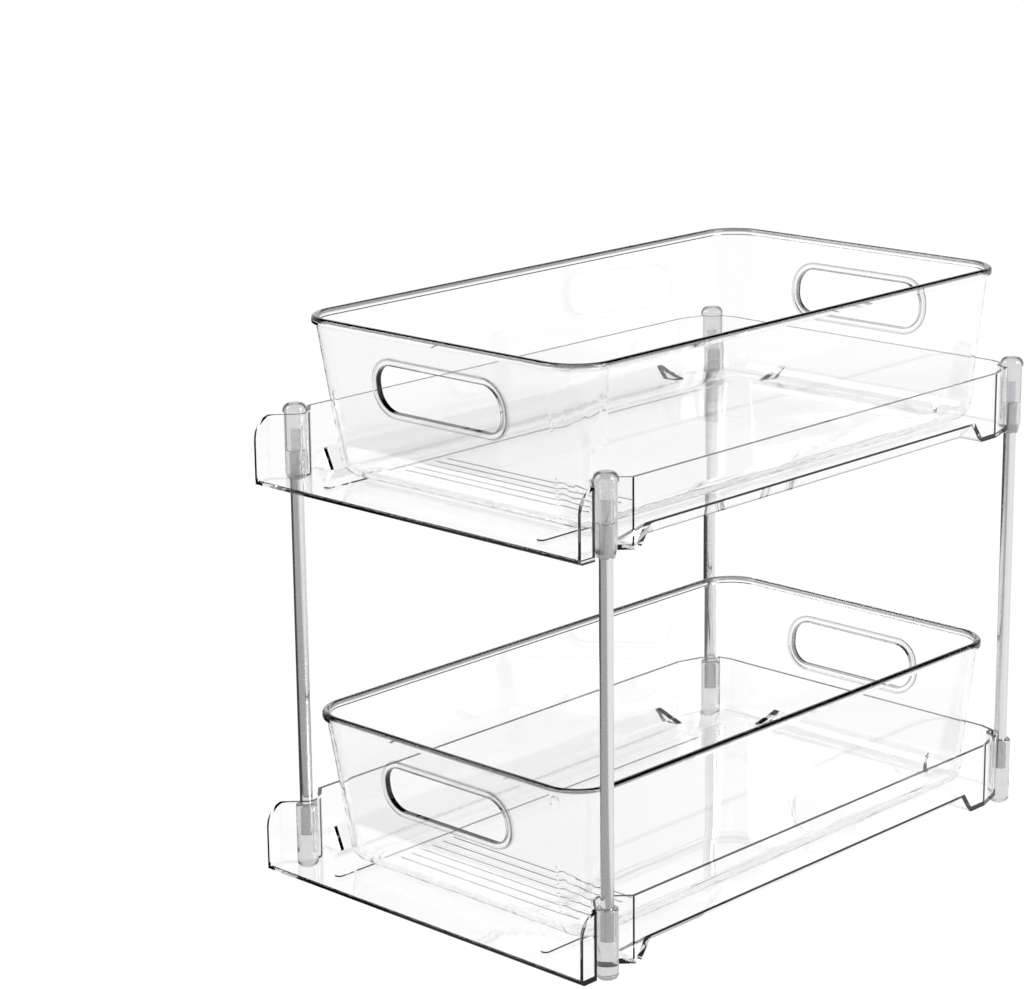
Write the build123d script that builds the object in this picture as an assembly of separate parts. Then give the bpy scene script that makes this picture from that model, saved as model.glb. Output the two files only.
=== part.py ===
# Two tier pull-out organizer for the cupboard under a sink.
#
# Two identical clear trays are held one above the other by four round metal posts. Each post end
# sits in a moulded connector that nests in a notch in the corner of a tray: a rounded foot in the
# lower tray, a domed cap in the upper one. A clear bin with a finger slot at each end slides forward
# out of each tray on two low rails.
#
# Units are millimetres. X is the width, Y the depth with the open front at the low end, Z is up.
# Everything is laid out from the front edge of the trays, and is moved at the end so that the
# origin lies on the ground under the middle of the whole organizer.

from build123d import *
import os

os.makedirs("parts", exist_ok=True)

overrun = 5.0

# Trays
tray_width = 197.0
tray_depth = 311.6
tray_height = 30.8
tray_wall = 1.8
tray_floor = 2.0
tier_pitch = 183.4
ear_radius = 10.5
rail_spacing = 129.0
rail_width = 4.5
rail_height = 0.7
rail_front_setback = 11.0
rail_back_setback = 24.0
tray_front_round = 0.7

# Raised underside of a tray, between its corner feet
raise_height = 9.2
raise_width = 12.5
raise_front_setback = 36.5
raise_back_setback = 35.6
raise_end_slope = 6.5
raise_bend = 3.0
raise_corner_setback = 46.0

# Posts
post_diameter = 6.0
post_front_setback = 20.5
post_front_inset = 4.9
post_rear_setback = 3.7
post_rear_inset = 5.7
post_socket_depth = 14.5
post_clearance = 0.05
post_end_round = 0.5

# Connectors, which nest in the notches of a tray
connector_radius = 4.9
connector_clearance = 0.1
connector_end_round = 0.8
notch_flare_angle = 45.0
rear_flank_angle = 16.0
key_width = 2.6
key_depth = 0.8
key_length = 20.0
key_clearance = 0.1
cap_head_radius = 5.5
cap_head_height = 4.0
cap_head_round = 3.2
cap_tail_length = 1.5
cap_tail_taper_height = 4.5
cap_tail_radius = 3.9
cap_core_radius = 2.2
cap_core_height = 23.5
foot_height = 4.5
foot_top_drop = 2.8
foot_round = 2.8

# Bins
bin_side_gap = 13.1
bin_front_setback = 13.3
bin_back_overhang = 2.2
bin_height = 74.3
bin_wall = 1.8
bin_floor = 1.8
bin_rim_height = 3.5
bin_rim_overhang = 1.4
bin_side_draft = 7.5
bin_front_draft = 11.3
bin_back_draft = 6.9
bin_rim_corner = 20.0
bin_foot_corner = 14.0
bin_floor_round = 10.0
bin_rim_round = 1.4
bin_band_round = 0.5
bin_glide_gap = 0.3
floor_rib_pitch = 6.8
floor_rib_count = 6
floor_rib_length = 110.0
floor_rib_width = 1.6
floor_rib_height = 0.4
floor_rib_setback = 44.7

# Finger slots in the ends of a bin
slot_width = 74.0
slot_height = 21.5
slot_corner = 9.5
slot_drop = 15.6
slot_collar_width = 2.8
slot_collar_rise = 1.0
slot_cut_reach = 20.0

# Places that follow from the sizes
half_width = tray_width / 2
cavity_half_width = half_width - tray_wall
notch_radius = connector_radius + connector_clearance
tray_bottoms = (foot_height, foot_height + tier_pitch)
post_front_x = half_width - post_front_inset
post_front_y = post_front_setback
post_rear_x = half_width - post_rear_inset
post_rear_y = tray_depth - post_rear_setback
rail_top = tray_floor + rail_height
bin_bottom = rail_top + bin_glide_gap
post_bore_radius = post_diameter / 2 + post_clearance
bin_half_width = half_width - bin_side_gap
bin_back = tray_depth + bin_back_overhang
middle_y = bin_back / 2

# Each corner: its name, where its post stands, and the way its connector faces, in degrees
corners = {
    "front_left": (-post_front_x, post_front_y, 180),
    "front_right": (post_front_x, post_front_y, 0),
    "rear_left": (-post_rear_x, post_rear_y, 135),
    "rear_right": (post_rear_x, post_rear_y, 45),
}


def corner_place(name):
    x, y, facing = corners[name]
    return Pos(x, y) * Rot(0, 0, facing)


# Outline of a tray seen from above, before its notches. Each rear corner turns in at a small angle on
# both sides of its post.
def tray_plan():
    side_turn_y = post_rear_y - post_rear_inset * tan_of(90 - rear_flank_angle)
    back_turn_x = post_rear_x - post_rear_setback * tan_of(90 - rear_flank_angle)
    right_side = [
        (half_width, 0),
        (half_width, side_turn_y),
        (post_rear_x, post_rear_y),
        (back_turn_x, tray_depth),
    ]
    left_side = [(-x, y) for x, y in reversed(right_side)]
    return make_face(Polyline(*right_side, *left_side, close=True))


# The notches that the connectors nest in, grown by a wall or not. Those at the front flare outward.
def notches(grown):
    radius = notch_radius + grown
    cuts = []
    for name in corners:
        cuts.append(corner_place(name) * Circle(radius))
        if name.startswith("front"):
            cuts.append(corner_place(name) * notch_flare(radius))
    return cuts


# The flared mouth of a front notch. Its sides touch the circle of the notch and open along +X.
def notch_flare(radius):
    touch = Vector(-radius, 0).rotate(Axis.Z, notch_flare_angle)
    run = Vector(post_front_inset + radius * 2, 0).rotate(Axis.Z, -notch_flare_angle)
    end = touch + run
    lower = [(touch.X, touch.Y), (end.X, end.Y)]
    upper = [(x, -y) for x, y in reversed(lower)]
    return make_face(Polyline(*lower, *upper, close=True))


def tan_of(degrees):
    direction = Vector(1, 0).rotate(Axis.Z, degrees)
    return direction.Y / direction.X


# The space inside a tray, open at the front.
def tray_cavity_outline():
    inside = offset(tray_plan(), -tray_wall, kind=Kind.INTERSECTION)
    mouth = Pos(0, -overrun) * Rectangle(
        cavity_half_width * 2, overrun + tray_wall * 2, align=(Align.CENTER, Align.MIN)
    )
    return inside + mouth - notches(tray_wall)


# The wedge of space below the raised edge of a tray. Grown by a wall, it shapes the inside too.
def raise_wedge(length, grown):
    across = Polyline(
        (0, -overrun),
        (0, grown),
        (raise_width, raise_height + grown),
        (raise_width + overrun, raise_height + grown),
        (raise_width + overrun, -overrun),
        close=True,
    )
    bar = extrude(Plane.XZ * make_face(across), length, both=True)
    arch = extrude(Plane.YZ * raise_arch(length, grown), raise_width + overrun * 2, both=True)
    return bar & arch


# Side view of that space: each end sweeps down to the foot beside it in an S curve.
def raise_arch(length, grown):
    end = length / 2 + grown
    points = [
        (end + overrun, -overrun),
        (end + overrun, grown),
        (end, grown),
        (end - raise_end_slope, raise_height + grown),
    ]
    mirrored = [(-x, z) for x, z in reversed(points)]
    outline = make_face(Polyline(*points, *mirrored, close=True))
    levels = outline.vertices().group_by(Axis.Y)
    foot_bends = levels[1].sort_by(Axis.X)[1:-1]
    outline = fillet(foot_bends, raise_bend - grown)
    return fillet(outline.vertices().group_by(Axis.Y)[-1], raise_bend + grown)


def raise_wedges(grown):
    side_length = tray_depth - raise_front_setback - raise_back_setback
    side_middle = raise_front_setback + side_length / 2
    back_length = tray_width - raise_corner_setback * 2
    wedges = []
    for turn in (0, 180):
        place = Rot(0, 0, turn) * Pos(half_width - raise_width, 0)
        wedges.append(Pos(0, side_middle) * place * raise_wedge(side_length, grown))
    back_place = Pos(0, tray_depth - raise_width) * Rot(0, 0, 90)
    wedges.append(back_place * raise_wedge(back_length, grown))
    return wedges


# One tray, standing on the plane at zero height.
def tray():
    body = extrude(tray_plan() - notches(0), tray_height)
    cavity = Pos(0, 0, tray_floor) * extrude(tray_cavity_outline(), tray_height)
    for wedge in raise_wedges(tray_floor):
        cavity -= wedge
    for wedge in raise_wedges(0):
        body -= wedge
    body -= cavity
    front_edges = body.edges().filter_by(Axis.X).group_by(Axis.Y)[0]
    body = fillet(front_edges, tray_front_round)
    rail_length = tray_depth - rail_front_setback - rail_back_setback
    rail_middle = rail_front_setback + rail_length / 2
    for side in (-1, 1):
        rail = extrude(SlotOverall(rail_length, rail_width, rotation=90), rail_height)
        body += Pos(side * rail_spacing / 2, rail_middle, tray_floor) * rail
    body &= ear_profile()
    for name in corners:
        body -= corner_place(name) * key_block(key_clearance)
    return body


# Side view of a tray: a long bar whose upper front corner, the end of both side walls, is round.
def ear_profile():
    outline = Rectangle(tray_depth, tray_height, align=(Align.MIN, Align.MIN))
    top_corners = outline.vertices().group_by(Axis.Y)[-1]
    outline = fillet(top_corners.sort_by(Axis.X)[0], ear_radius)
    return extrude(Plane.YZ * outline, half_width, both=True)


# The key on the inner side of a connector that faces +X, at its height in the tray. With some
# clearance it is the shallow pocket in the notch of the tray, which the key snaps into.
def key_block(clearance):
    reach = connector_radius + key_depth + clearance
    block = Box(
        reach,
        key_width + clearance * 2,
        key_length + clearance * 2,
        align=(Align.MAX, Align.CENTER, Align.CENTER),
    )
    return Pos(0, 0, tray_height / 2) * block


def upright(radius, bottom, top):
    rod = Cylinder(radius, top - bottom, align=(Align.CENTER, Align.CENTER, Align.MIN))
    return Pos(0, 0, bottom) * rod


# The foot in the lower tray: rounded below, with a blind hole in its top for the post.
def foot():
    top = tray_height - foot_top_drop
    body = upright(connector_radius, -foot_height, top)
    body = fillet(body.edges().group_by(Axis.Z)[0], foot_round)
    body = fillet(body.edges().group_by(Axis.Z)[-1], connector_end_round) + key_block(0)
    return body - upright(post_bore_radius, top - post_socket_depth, top + overrun)


# The domed cap in the upper tray. The post sits in its tapered lower end, and a narrower core hole
# goes on above the end of the post.
def cap():
    tail = Pos(0, 0, -cap_tail_length) * Cone(
        cap_tail_radius,
        connector_radius,
        cap_tail_taper_height,
        align=(Align.CENTER, Align.CENTER, Align.MIN),
    )
    head = upright(cap_head_radius, tray_height, tray_height + cap_head_height)
    head = fillet(head.edges().group_by(Axis.Z)[-1], cap_head_round)
    body = upright(connector_radius, cap_tail_taper_height - cap_tail_length, tray_height)
    body += key_block(0)
    post_end = post_socket_depth - cap_tail_length
    bore = upright(post_bore_radius, -cap_tail_length - overrun, post_end)
    return body + tail + head - bore - upright(cap_core_radius, post_end, cap_core_height)


# A post runs from the bottom of the hole in a foot to the step in the hole in a cap.
def post():
    bottom = tray_bottoms[0] + tray_height - foot_top_drop - post_socket_depth
    top = tray_bottoms[1] - cap_tail_length + post_socket_depth
    rod = upright(post_diameter / 2, bottom, top)
    return fillet(rod.edges().filter_by(GeomType.CIRCLE), post_end_round)


# Outline of a bin wall at one level, from how far that level lies inside the top of the wall.
def bin_outline(side, front, back, corner, grown):
    length = bin_back - bin_front_setback - bin_rim_overhang * 2 - front - back
    width = (bin_half_width - bin_rim_overhang - side) * 2
    middle = bin_front_setback + bin_rim_overhang + front + length / 2
    return Pos(0, middle) * RectangleRounded(width + grown * 2, length + grown * 2, corner + grown)


# Solid with the sloping sides of a bin, grown outward or inward, between the floor and the rim.
def bin_hull(grown, bottom):
    share = (bin_height - bottom) / bin_height
    corner = bin_rim_corner - bin_rim_overhang
    foot_corner = corner + (bin_foot_corner - corner) * share
    drafts = [draft * share for draft in (bin_side_draft, bin_front_draft, bin_back_draft)]
    low = bin_outline(*drafts, foot_corner, grown)
    top = bin_outline(0, 0, 0, corner, grown)
    hull = loft([Pos(0, 0, bottom) * low, Pos(0, 0, bin_height) * top], ruled=True)
    return fillet(hull.edges().group_by(Axis.Z)[0], bin_floor_round + grown)


# Prism through one end wall, used for a finger slot and for the collar round it.
def slot_prism(grown, y):
    outline = RectangleRounded(
        slot_width + grown * 2, slot_height + grown * 2, slot_corner + grown
    )
    height = bin_height - slot_drop - slot_height / 2
    return extrude(Plane.XZ.offset(-y) * Pos(0, height) * outline, slot_cut_reach, both=True)


# Low ribs across the floor of a bin, behind its front wall.
def floor_ribs():
    rib = extrude(SlotOverall(floor_rib_length, floor_rib_width), floor_rib_height)
    steps = [floor_rib_setback + step * floor_rib_pitch for step in range(floor_rib_count)]
    return [Pos(0, y, bin_floor) * rib for y in steps]


# One bin, standing on the plane at zero height.
def storage_bin():
    inside = bin_hull(-bin_wall, bin_floor)
    rim_outline = bin_outline(0, 0, 0, bin_rim_corner - bin_rim_overhang, bin_rim_overhang)
    rim = Pos(0, 0, bin_height - bin_rim_height) * extrude(rim_outline, bin_rim_height)
    rim = fillet(rim.edges().group_by(Axis.Z)[0], bin_band_round)
    body = bin_hull(0, 0) + rim
    swollen = bin_hull(slot_collar_rise, 0)
    for end_y in (bin_front_setback, bin_back):
        body += swollen & slot_prism(slot_collar_width, end_y)
    body -= inside
    body = fillet(body.edges().group_by(Axis.Z)[-1], bin_rim_round)
    for end_y in (bin_front_setback, bin_back):
        body -= slot_prism(0, end_y)
    return body + floor_ribs()


def write(shape, name, height):
    placed = Pos(0, -middle_y, height) * shape
    placed.label = name
    export_step(placed, f"parts/{name}.step")


one_tray = tray()
one_bin = storage_bin()
for level, bottom in zip(("lower", "upper"), tray_bottoms):
    write(one_tray, f"{level}_tray", bottom)
    write(one_bin, f"{level}_bin", bottom + bin_bottom)

for name in corners:
    place = corner_place(name)
    write(place * post(), f"post_{name}", 0)
    write(place * foot(), f"foot_{name}", tray_bottoms[0])
    write(place * cap(), f"cap_{name}", tray_bottoms[1])
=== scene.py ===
# %% [markdown]
# A two tier pull-out organizer, dressed for a photograph.
#
# The real thing is two clear moulded trays, one above the other on four metal posts, with a clear
# bin that slides out of each tray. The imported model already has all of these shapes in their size
# and place, so no piece is modelled here. The cells below give the pieces their finish and set the
# floor, the lights and the camera.

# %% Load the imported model
import math

import bpy
from mathutils import Euler, Matrix, Vector


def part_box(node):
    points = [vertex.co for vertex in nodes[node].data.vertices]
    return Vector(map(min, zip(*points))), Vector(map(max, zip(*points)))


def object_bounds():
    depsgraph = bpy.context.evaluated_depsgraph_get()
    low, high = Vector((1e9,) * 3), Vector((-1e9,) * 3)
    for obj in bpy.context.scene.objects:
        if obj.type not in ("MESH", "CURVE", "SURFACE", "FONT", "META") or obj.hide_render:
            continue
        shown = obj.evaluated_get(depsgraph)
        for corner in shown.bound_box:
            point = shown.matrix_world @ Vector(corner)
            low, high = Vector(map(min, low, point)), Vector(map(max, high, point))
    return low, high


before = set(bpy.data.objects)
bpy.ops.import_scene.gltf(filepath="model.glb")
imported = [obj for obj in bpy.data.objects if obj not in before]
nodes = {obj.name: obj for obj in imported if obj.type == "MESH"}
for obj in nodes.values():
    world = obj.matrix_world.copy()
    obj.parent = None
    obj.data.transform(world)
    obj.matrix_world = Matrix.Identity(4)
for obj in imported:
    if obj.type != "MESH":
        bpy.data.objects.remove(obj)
cad_low, cad_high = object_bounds()
print("the model measures", [round(value, 4) for value in cad_high - cad_low])

# %% [markdown]
# The camera comes first, because every later choice is judged through it. The picture was taken from
# the front right corner, a little above the top bin, with a long lens from well back, so that
# parallel edges hardly converge. A camera object has its own axes: it looks along its minus Z, so it
# is tipped up from straight down, turned about the vertical, and then rolled by a hair.

# %% Camera
CAMERA_PLACE = Vector((0.9005, -1.0314, 0.5327))
CAMERA_TURN = math.radians(43.853)
CAMERA_DIP = math.radians(14.850)
CAMERA_ROLL = math.radians(-0.662)
SENSOR_WIDTH = 36.0
LENS = 107.6

camera_data = bpy.data.cameras.new("camera")
camera_data.sensor_fit = "HORIZONTAL"
camera_data.sensor_width = SENSOR_WIDTH
camera_data.lens = LENS
camera = bpy.data.objects.new("camera", camera_data)
bpy.context.scene.collection.objects.link(camera)
aim = Euler((math.pi / 2 - CAMERA_DIP, 0, CAMERA_TURN)).to_matrix()
rolled = aim @ Matrix.Rotation(CAMERA_ROLL, 3, "Z")
camera.matrix_world = Matrix.Translation(CAMERA_PLACE) @ rolled.to_4x4()
bpy.context.scene.camera = camera
print("the camera stands", round(CAMERA_PLACE.length, 3), "metres from the model's origin")

# %% [markdown]
# Clear plastic has no colour of its own, so it shows only what is behind it and what it mirrors. On a
# white table it would vanish. A product photographer therefore keeps the table and the low backdrop
# white and everything overhead dark: the walls stay clean, and each edge, which bends light in from
# all sides, gathers the dark and draws itself as a thin line. The table here is painted nearly black
# and glows white by itself, so that lamps and shadows hardly change it.

# %% Floor
FLOOR_HALF = 12.0
FLOOR_PAINT = 0.04
FLOOR_ROUGHNESS = 0.6
FLOOR_GLOSS = 0.1
FLOOR_GLOW = 0.98

bpy.ops.mesh.primitive_plane_add(size=FLOOR_HALF * 2, location=(0, 0, cad_low.z))
floor = bpy.context.object
floor.name = "floor"

floor_paint = bpy.data.materials.new("studio_floor")
floor_paint.use_nodes = True
floor_shader = floor_paint.node_tree.nodes["Principled BSDF"]
floor_shader.inputs["Base Color"].default_value = (FLOOR_PAINT, FLOOR_PAINT, FLOOR_PAINT, 1)
floor_shader.inputs["Roughness"].default_value = FLOOR_ROUGHNESS
floor_shader.inputs["Specular IOR Level"].default_value = FLOOR_GLOSS
floor_shader.inputs["Emission Color"].default_value = (1, 1, 1, 1)
floor_shader.inputs["Emission Strength"].default_value = FLOOR_GLOW
floor.data.materials.append(floor_paint)
print("the floor reaches", FLOOR_HALF, "metres each way")

# %% [markdown]
# The world is a dome of light. A white backdrop stands behind the set, greyer walls stand round the
# rest of the room up to the same height, and everything above is dark. The flat floors of the bins,
# seen at a low angle, mirror the backdrop and stay clear. Two masks make the room: one by the height
# of a direction, and one by how far it turns away from straight ahead. What is left of the light is
# the one times the other.

# %% World dome
CEILING_LIGHT = 0.0
WALL_LIGHT = 0.55
HORIZON_TOP = 0.42
DARK_START = 0.5
BACKDROP_EDGE = 0.75
BACKDROP_FULL = 0.93

view_right = Vector((math.cos(CAMERA_TURN), math.sin(CAMERA_TURN), 0))
view_ahead = Vector((-view_right.y, view_right.x, 0))

world = bpy.data.worlds.new("studio")
bpy.context.scene.world = world
world.use_nodes = True
sky = world.node_tree
direction = sky.nodes.new("ShaderNodeTexCoord")
split = sky.nodes.new("ShaderNodeSeparateXYZ")
sky.links.new(direction.outputs["Generated"], split.inputs["Vector"])
turned = sky.nodes.new("ShaderNodeVectorMath")
turned.operation = "DOT_PRODUCT"
turned.inputs[1].default_value = view_ahead
sky.links.new(direction.outputs["Generated"], turned.inputs[0])


def smooth_mask(source, low, high, at_low, at_high):
    mask = sky.nodes.new("ShaderNodeMapRange")
    mask.interpolation_type = "SMOOTHSTEP"
    mask.inputs["From Min"].default_value = low
    mask.inputs["From Max"].default_value = high
    mask.inputs["To Min"].default_value = at_low
    mask.inputs["To Max"].default_value = at_high
    sky.links.new(source, mask.inputs["Value"])
    return mask.outputs["Result"]


low_enough = smooth_mask(split.outputs["Z"], HORIZON_TOP, DARK_START, 1.0, CEILING_LIGHT)
ahead_enough = smooth_mask(turned.outputs["Value"], BACKDROP_EDGE, BACKDROP_FULL, WALL_LIGHT, 1.0)
both = sky.nodes.new("ShaderNodeMath")
both.operation = "MULTIPLY"
background = sky.nodes["Background"]
background.inputs["Color"].default_value = (1, 1, 1, 1)
sky.links.new(low_enough, both.inputs[0])
sky.links.new(ahead_enough, both.inputs[1])
sky.links.new(both.outputs["Value"], background.inputs["Strength"])
print("the walls turn dark", round(math.degrees(math.asin(HORIZON_TOP)), 1), "degrees up")

# %% [markdown]
# Two large soft boxes stand high up on either side. The table and the walls glow by themselves and
# need no light from them. They are there for what is glossy, which mirrors them as pale patches. A
# soft box is an area light: its size sets how wide the patch is, and its power how bright.

# %% Soft boxes
TARGET = Vector((0, 0, (cad_low.z + cad_high.z) / 2))
SOFT_BOXES = {
    "right_box": {"place": (2.2, 0.6, 1.4), "size": (1.2, 1.6), "power": 55},
    "left_box": {"place": (-1.6, -1.6, 1.9), "size": (1.4, 1.4), "power": 40},
}


def soft_box(name, place, size, power):
    light = bpy.data.lights.new(name, "AREA")
    light.shape = "RECTANGLE"
    light.size, light.size_y = size
    light.energy = power
    lamp = bpy.data.objects.new(name, light)
    bpy.context.scene.collection.objects.link(lamp)
    lamp.location = place
    lamp.rotation_euler = (TARGET - Vector(place)).to_track_quat("-Z", "Y").to_euler()


for name, values in SOFT_BOXES.items():
    soft_box(name, **values)
print("hung", len(SOFT_BOXES), "soft boxes")

# %% [markdown]
# A round rod on a white table mirrors white all over and looks flat. Seen from a little above, it
# mirrors the table and not the room, so two cards lie on the table: a grey one in front on the left,
# which gives each post its darker side, and a near black one behind on the left, which draws the thin
# dark line down the left edge of most of them. Only mirrored rays meet the cards. They show neither on
# the table nor behind the clear plastic, though from another side the gloss still mirrors them.

# %% Cards on the table
CARD_LIFT = 0.001
CARD_REACH = 1.5
CARD_SPLIT = -0.1
GREY_CARD_RIGHT = 0.06
BLACK_CARD_RIGHT = 0.0
GREY_CARD_LIGHT = 0.48
BLACK_CARD_LIGHT = 0.05
CARD_HIDDEN_FROM = ("camera", "diffuse", "transmission", "volume_scatter", "shadow")


def table_card(name, right, near, far, light):
    middle = view_right * (right - CARD_REACH / 2) + view_ahead * ((near + far) / 2)
    middle.z = cad_low.z + CARD_LIFT
    bpy.ops.object.select_all(action="DESELECT")
    bpy.ops.mesh.primitive_plane_add(size=1, location=middle, rotation=(0, 0, CAMERA_TURN))
    card = bpy.context.object
    card.name = name
    card.scale = (CARD_REACH, far - near, 1)
    for rays in CARD_HIDDEN_FROM:
        setattr(card, "visible_" + rays, False)
    paint = bpy.data.materials.new("studio_" + name)
    paint.use_nodes = True
    shader = paint.node_tree.nodes["Principled BSDF"]
    shader.inputs["Base Color"].default_value = (0, 0, 0, 1)
    shader.inputs["Specular IOR Level"].default_value = 0.0
    shader.inputs["Emission Color"].default_value = (1, 1, 1, 1)
    shader.inputs["Emission Strength"].default_value = light
    card.data.materials.append(paint)
    print("laid", name, "with a light of", light)


table_card("grey_card", GREY_CARD_RIGHT, -CARD_REACH, CARD_SPLIT, GREY_CARD_LIGHT)
table_card("black_card", BLACK_CARD_RIGHT, CARD_SPLIT, CARD_REACH, BLACK_CARD_LIGHT)

# %% [markdown]
# The finishes share three small effects. Each is a node group with named inputs, built once here and
# placed in every material that needs it, with that material's own values. A group's sockets are made
# first, and its two end nodes then show them.

# %% Helpers for node groups
def node_group(name, inputs, outputs):
    group = bpy.data.node_groups.new(name, "ShaderNodeTree")
    for label, kind, value in inputs:
        socket = group.interface.new_socket(name=label, in_out="INPUT", socket_type=kind)
        if value is not None:
            socket.default_value = value
    for label, kind in outputs:
        group.interface.new_socket(name=label, in_out="OUTPUT", socket_type=kind)
    start = group.nodes.new("NodeGroupInput")
    end = group.nodes.new("NodeGroupOutput")
    print("made the group", name)
    return group, start, end


def add_group(tree, group, **values):
    node = tree.nodes.new("ShaderNodeGroup")
    node.node_tree = group
    for label, value in values.items():
        node.inputs[label.replace("_", " ")].default_value = value
    return node


# %% [markdown]
# The first effect is the slow waviness that plastic keeps from flowing into its mould. A soft noise
# of fourteen waves to the metre gives a height of up to a tenth of a millimetre, which a Bump node
# then turns into a tilt of the surface.

# %% Waves from the mould
WAVE_DETAIL = 1.0


def flow_waves_group():
    group, start, end = node_group(
        "flow_waves",
        [
            ("Vector", "NodeSocketVector", None),
            ("Waves per metre", "NodeSocketFloat", 14.0),
            ("Height in metres", "NodeSocketFloat", 0.0001),
        ],
        [("Height", "NodeSocketFloat")],
    )
    noise = group.nodes.new("ShaderNodeTexNoise")
    noise.inputs["Detail"].default_value = WAVE_DETAIL
    swell = group.nodes.new("ShaderNodeMath")
    swell.operation = "MULTIPLY"
    group.links.new(start.outputs["Vector"], noise.inputs["Vector"])
    group.links.new(start.outputs["Waves per metre"], noise.inputs["Scale"])
    group.links.new(noise.outputs["Fac"], swell.inputs[0])
    group.links.new(start.outputs["Height in metres"], swell.inputs[1])
    group.links.new(swell.outputs["Value"], end.inputs["Height"])
    return group


FLOW_WAVES = flow_waves_group()

# %% [markdown]
# The second effect is the haze of hairline scratches that handling leaves on plastic and that a belt
# leaves on metal. A noise that is fine in one direction and coarse in another breaks into lines, and
# only its highest parts are taken as scratches. They are rough, and the rest stays smooth.

# %% Hairlines
HAIRLINE_SCALE = 1.0
HAIRLINE_DETAIL = 4.0
SCRATCH_START = 0.55
SCRATCH_FULL = 0.8


def hairlines_group():
    group, start, end = node_group(
        "hairlines",
        [
            ("Vector", "NodeSocketVector", None),
            ("Stretch", "NodeSocketVector", (900.0, 12.0, 900.0)),
            ("Smooth", "NodeSocketFloat", 0.02),
            ("Rough", "NodeSocketFloat", 0.1),
        ],
        [("Roughness", "NodeSocketFloat")],
    )
    spread = group.nodes.new("ShaderNodeVectorMath")
    spread.operation = "MULTIPLY"
    noise = group.nodes.new("ShaderNodeTexNoise")
    noise.inputs["Scale"].default_value = HAIRLINE_SCALE
    noise.inputs["Detail"].default_value = HAIRLINE_DETAIL
    mask = group.nodes.new("ShaderNodeMapRange")
    mask.inputs["From Min"].default_value = SCRATCH_START
    mask.inputs["From Max"].default_value = SCRATCH_FULL
    rough = group.nodes.new("ShaderNodeMapRange")
    group.links.new(start.outputs["Vector"], spread.inputs[0])
    group.links.new(start.outputs["Stretch"], spread.inputs[1])
    group.links.new(spread.outputs["Vector"], noise.inputs["Vector"])
    group.links.new(noise.outputs["Fac"], mask.inputs["Value"])
    group.links.new(mask.outputs["Result"], rough.inputs["Value"])
    group.links.new(start.outputs["Smooth"], rough.inputs["To Min"])
    group.links.new(start.outputs["Rough"], rough.inputs["To Max"])
    group.links.new(rough.outputs["Result"], end.inputs["Roughness"])
    return group


HAIRLINES = hairlines_group()

# %% [markdown]
# The third effect is painted shade: the dark line that a rounded edge draws on a clear bin, along its
# rim and round its finger slots, where the edge bends in the dark of the room. A thin dark tint
# painted into the base colour stands in for it, because the line did not come out dark enough from
# the light alone. It lies in the top of the rim, on the edge of each slot and, fainter, on the edge
# of the collar round the slot. The real plastic has no such tint.
#
# All places are measured from the top of the rim, in metres, on the bin at rest. A slot's outline is a
# rounded rectangle. To find how far a point is from it, the rectangle is shrunk by its corner radius,
# the point's distance from the shrunk one is taken across and upward, and the two are joined by the
# rule of the right triangle. Where that distance equals the corner radius, the point is on the outline.

# %% Painted shade on the edges
PLASTIC_TINT = 0.995
RIM_BAND = 0.0014
RIM_FADE = 0.002
SLOT_DEPTH = 0.02635
SLOT_HALF_WIDTH = 0.037
SLOT_HALF_HEIGHT = 0.01075
SLOT_CORNER = 0.0095
SLOT_COLLAR = 0.0028
EDGE_LINE = 0.0003
EDGE_FADE = 0.0007


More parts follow.
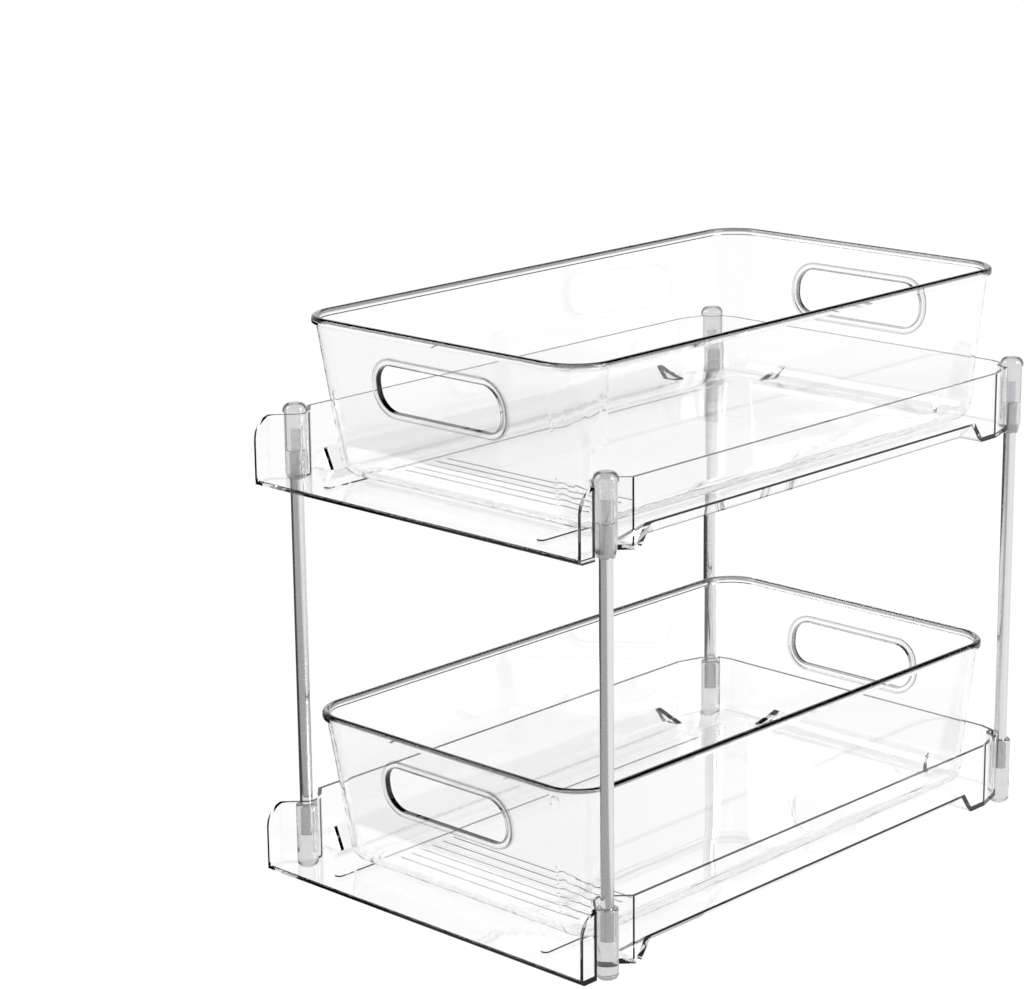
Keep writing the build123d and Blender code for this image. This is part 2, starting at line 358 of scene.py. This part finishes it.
# Painted shade: a dark tint in the base colour along the rim top and the slot and collar edges, standing
# in for the dark line that light draws on a clear edge.
def painted_edge_shade_group():
    group, start, end = node_group(
        "painted_edge_shade",
        [
            ("Vector", "NodeSocketVector", None),
            ("Rim top", "NodeSocketFloat", 0.1),
            ("Rim painted shade", "NodeSocketFloat", 0.15),
            ("Slot painted shade", "NodeSocketFloat", 0.2),
            ("Collar painted shade", "NodeSocketFloat", 0.6),
        ],
        [("Tint", "NodeSocketFloat")],
    )

    def reckon(operation, first, second=0.0):
        node = group.nodes.new("ShaderNodeMath")
        node.operation = operation
        for socket, value in zip(node.inputs, (first, second)):
            if isinstance(value, float):
                socket.default_value = value
            else:
                group.links.new(value, socket)
        return node.outputs["Value"]

    def line(away, width, fade, painted_shade):
        tint = group.nodes.new("ShaderNodeMapRange")
        tint.inputs["From Min"].default_value = width
        tint.inputs["From Max"].default_value = fade
        group.links.new(away, tint.inputs["Value"])
        group.links.new(painted_shade, tint.inputs["To Min"])
        return tint.outputs["Result"]

    split = group.nodes.new("ShaderNodeSeparateXYZ")
    group.links.new(start.outputs["Vector"], split.inputs["Vector"])
    depth = reckon("SUBTRACT", start.outputs["Rim top"], split.outputs["Z"])
    # Each line below paints shade into the base colour where a dark edge line would fall.
    rim = line(depth, RIM_BAND, RIM_FADE, start.outputs["Rim painted shade"])

    sideways = reckon("ABSOLUTE", split.outputs["X"])
    level = reckon("ABSOLUTE", reckon("SUBTRACT", depth, SLOT_DEPTH))
    across = reckon("MAXIMUM", reckon("SUBTRACT", sideways, SLOT_HALF_WIDTH - SLOT_CORNER))
    upward = reckon("MAXIMUM", reckon("SUBTRACT", level, SLOT_HALF_HEIGHT - SLOT_CORNER))
    squares = reckon("ADD", reckon("MULTIPLY", across, across), reckon("MULTIPLY", upward, upward))
    from_middle = reckon("SQRT", squares)
    from_slot = reckon("ABSOLUTE", reckon("SUBTRACT", from_middle, SLOT_CORNER))
    from_collar = reckon("ABSOLUTE", reckon("SUBTRACT", from_middle, SLOT_CORNER + SLOT_COLLAR))
    slot = line(from_slot, EDGE_LINE, EDGE_FADE, start.outputs["Slot painted shade"])
    collar = line(from_collar, EDGE_LINE, EDGE_FADE, start.outputs["Collar painted shade"])

    edges = reckon("MULTIPLY", rim, reckon("MULTIPLY", slot, collar))
    group.links.new(reckon("MULTIPLY", edges, PLASTIC_TINT), end.inputs["Tint"])
    return group


PAINTED_EDGE_SHADE = painted_edge_shade_group()

# %% [markdown]
# Clear plastic is a glass-like surface with a slight absorption inside. Looking through a wall of two
# millimetres takes next to nothing from the view, and a ray that runs along a wall for five
# centimetres loses about six hundredths. Shadow rays, and the rays by which the table gathers its
# light, see the plastic as almost open, because the renderer would otherwise paint a hard dark shadow
# under it.

# %% Clear plastic
PLASTIC_IOR = 1.5
PLASTIC_ABSORPTION = (0.84, 0.84, 0.845, 1)


def see_through_material(name, tint, smooth, rough, density, shade, clear, rim_top=None):
    paint = bpy.data.materials.new(name)
    paint.use_nodes = True
    tree = paint.node_tree
    shader = tree.nodes["Principled BSDF"]
    output = tree.nodes["Material Output"]
    shader.inputs["Base Color"].default_value = (*tint, 1)
    shader.inputs["Transmission Weight"].default_value = clear
    shader.inputs["IOR"].default_value = PLASTIC_IOR
    place = tree.nodes.new("ShaderNodeTexCoord")
    waves = add_group(tree, FLOW_WAVES)
    lines = add_group(tree, HAIRLINES, Smooth=smooth, Rough=rough)
    bump = tree.nodes.new("ShaderNodeBump")
    bump.inputs["Strength"].default_value = 1.0
    bump.inputs["Distance"].default_value = 1.0
    tree.links.new(place.outputs["Object"], waves.inputs["Vector"])
    tree.links.new(place.outputs["Object"], lines.inputs["Vector"])
    tree.links.new(waves.outputs["Height"], bump.inputs["Height"])
    tree.links.new(bump.outputs["Normal"], shader.inputs["Normal"])
    tree.links.new(lines.outputs["Roughness"], shader.inputs["Roughness"])

    # Painted shade: the dark edge lines are painted into the bin's base colour.
    if rim_top is not None:
        painted_shade = add_group(tree, PAINTED_EDGE_SHADE, Rim_top=rim_top)
        tree.links.new(place.outputs["Object"], painted_shade.inputs["Vector"])
        tree.links.new(painted_shade.outputs["Tint"], shader.inputs["Base Color"])

    open_way = tree.nodes.new("ShaderNodeBsdfTransparent")
    open_way.inputs["Color"].default_value = (shade, shade, shade, 1)
    path = tree.nodes.new("ShaderNodeLightPath")
    either = tree.nodes.new("ShaderNodeMath")
    either.operation = "MAXIMUM"
    mix = tree.nodes.new("ShaderNodeMixShader")
    tree.links.new(path.outputs["Is Shadow Ray"], either.inputs[0])
    tree.links.new(path.outputs["Is Diffuse Ray"], either.inputs[1])
    tree.links.new(either.outputs["Value"], mix.inputs["Fac"])
    tree.links.new(shader.outputs["BSDF"], mix.inputs[1])
    tree.links.new(open_way.outputs["BSDF"], mix.inputs[2])
    tree.links.new(mix.outputs["Shader"], output.inputs["Surface"])

    inside = tree.nodes.new("ShaderNodeVolumeAbsorption")
    inside.inputs["Color"].default_value = PLASTIC_ABSORPTION
    inside.inputs["Density"].default_value = density
    tree.links.new(inside.outputs["Volume"], output.inputs["Volume"])
    print("mixed", name)
    return paint


# %% [markdown]
# The trays and bins share one plastic. Each bin has its own copy of it, because the painted edge
# shade must know how high that bin's rim is. The connectors are of a greyer plastic with a trace of
# haze, clear enough for the end of each post to show through its cap and its foot.

# %% Mix the plastics
CLEAR_PLASTIC = {
    "tint": (PLASTIC_TINT, PLASTIC_TINT, PLASTIC_TINT),
    "smooth": 0.0,
    "rough": 0.05,
    "density": 8.0,
    "shade": 0.97,
    "clear": 1.0,
}
GREY_PLASTIC = {
    "tint": (0.7, 0.7, 0.71),
    "smooth": 0.04,
    "rough": 0.1,
    "density": 6.0,
    "shade": 0.85,
    "clear": 0.94,
}

tray_plastic = see_through_material("tray_plastic", **CLEAR_PLASTIC)
bin_plastic = {
    name: see_through_material(name + "_plastic", rim_top=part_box(name)[1].z, **CLEAR_PLASTIC)
    for name in ("lower_bin", "upper_bin")
}
connector_plastic = see_through_material("connector_plastic", **GREY_PLASTIC)

# %% [markdown]
# The posts are satin steel. Metal takes nearly all its look from what it mirrors, so its colour is
# plain, and the finish lies in the roughness: fine lines round the rod from the polishing belt.

# %% Post steel
STEEL_COLOUR = (0.7, 0.7, 0.7, 1)
STEEL_SMOOTH = 0.2
STEEL_ROUGH = 0.34
BELT_LINES = (60.0, 60.0, 2500.0)


def steel_material():
    paint = bpy.data.materials.new("post_steel")
    paint.use_nodes = True
    tree = paint.node_tree
    shader = tree.nodes["Principled BSDF"]
    shader.inputs["Base Color"].default_value = STEEL_COLOUR
    shader.inputs["Metallic"].default_value = 1.0
    place = tree.nodes.new("ShaderNodeTexCoord")
    lines = add_group(tree, HAIRLINES, Stretch=BELT_LINES, Smooth=STEEL_SMOOTH, Rough=STEEL_ROUGH)
    tree.links.new(place.outputs["Object"], lines.inputs["Vector"])
    tree.links.new(lines.outputs["Roughness"], shader.inputs["Roughness"])
    return paint


post_steel = steel_material()
print("mixed the steel of the posts")

# %% [markdown]
# Each finish goes onto the pieces that have it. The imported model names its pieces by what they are, so
# one word of the name picks the finish, and the two bins, which no word picks, take their own plastic.

# %% Dress the pieces
FINISHES = {
    "tray": tray_plastic,
    "post": post_steel,
    "foot": connector_plastic,
    "cap": connector_plastic,
}
for name, piece in nodes.items():
    kind = next((word for word in FINISHES if word in name.split("_")), None)
    piece.data.materials.clear()
    piece.data.materials.append(bin_plastic[name] if kind is None else FINISHES[kind])
print("dressed", len(nodes), "pieces")

# %% [markdown]
# A ray that looks down through both tiers crosses more than a dozen clear surfaces. The renderer
# gives up on a ray after a set number of crossings and paints it black, so the number is raised. The
# plain view transform keeps the white table white.

# %% Light paths and colour
CROSSINGS = 40

bpy.context.scene.cycles.max_bounces = CROSSINGS
bpy.context.scene.cycles.transmission_bounces = CROSSINGS
bpy.context.scene.cycles.transparent_max_bounces = CROSSINGS
bpy.context.scene.view_settings.view_transform = "Standard"
print("rays may cross", CROSSINGS, "surfaces")
